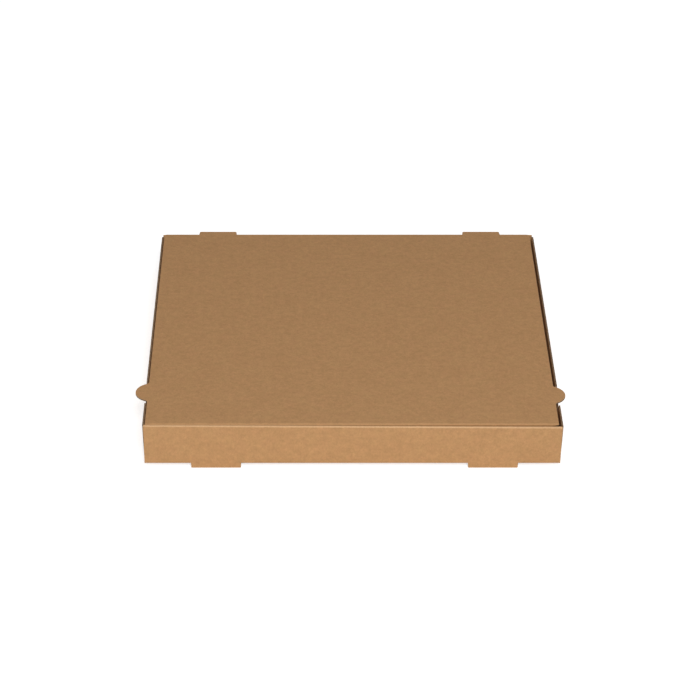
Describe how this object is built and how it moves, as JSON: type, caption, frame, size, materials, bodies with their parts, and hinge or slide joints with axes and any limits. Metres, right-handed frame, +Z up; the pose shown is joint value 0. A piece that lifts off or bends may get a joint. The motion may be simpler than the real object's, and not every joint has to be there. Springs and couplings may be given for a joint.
{
  "type": "pizza box",
  "caption": "Flat square pizza box folded from kraft corrugated board, with a lid hinged at the back, thumb ears at its sides and a rolled-over front wall.",
  "frame": {"origin": "centre of the base panel's underside", "axes": "+X to the right seen from the front wall, +Y from the front wall to the hinge, +Z up out of the base"},
  "size_m": [0.3454, 0.3376, 0.039],
  "materials": {
    "kraft_board": "matte"
  },
  "bodies": {
    "tray": {"tray": "kraft_board"},
    "lid": {"lid": "kraft_board"}
  },
  "joints": [
    {"name": "lid_hinge", "type": "hinge", "parent": "tray", "child": "lid", "pos_m": [0, 0.165, 0.035], "axis": [-1, 0, 0], "range_deg": [0, 180]}
  ]
}
